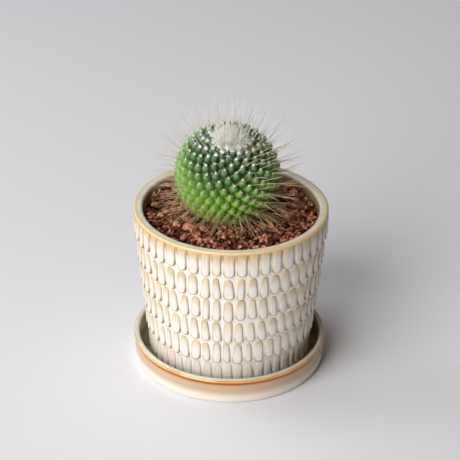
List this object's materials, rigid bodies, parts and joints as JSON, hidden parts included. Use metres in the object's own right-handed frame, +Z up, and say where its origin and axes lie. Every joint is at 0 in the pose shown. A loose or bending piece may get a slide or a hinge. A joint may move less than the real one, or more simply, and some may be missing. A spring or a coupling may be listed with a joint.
{
  "type": "potted mammillaria",
  "caption": "Globe cactus with spiral tubercles, long spines and a woolly crown, in a glazed ceramic pot with relief pads, on its saucer, top-dressed with stone chips.",
  "frame": {"origin": "centre of the saucer's underside, on the surface that it stands on", "axes": "+Z up along the pot's axis; -Y is the side that the crown of the cactus leans towards"},
  "size_m": [0.123, 0.123, 0.1827],
  "materials": {
    "saucer_glaze": "gloss",
    "pot_glaze": "satin",
    "soil_dark": "matte",
    "copper_chips": "satin",
    "cactus_green": "satin",
    "white_wool": "matte"
  },
  "bodies": {
    "root": {"saucer": "saucer_glaze", "pot": "pot_glaze", "soil": "soil_dark", "gravel": "copper_chips", "cactus": "cactus_green", "crown_wool": "white_wool"}
  },
  "joints": []
}
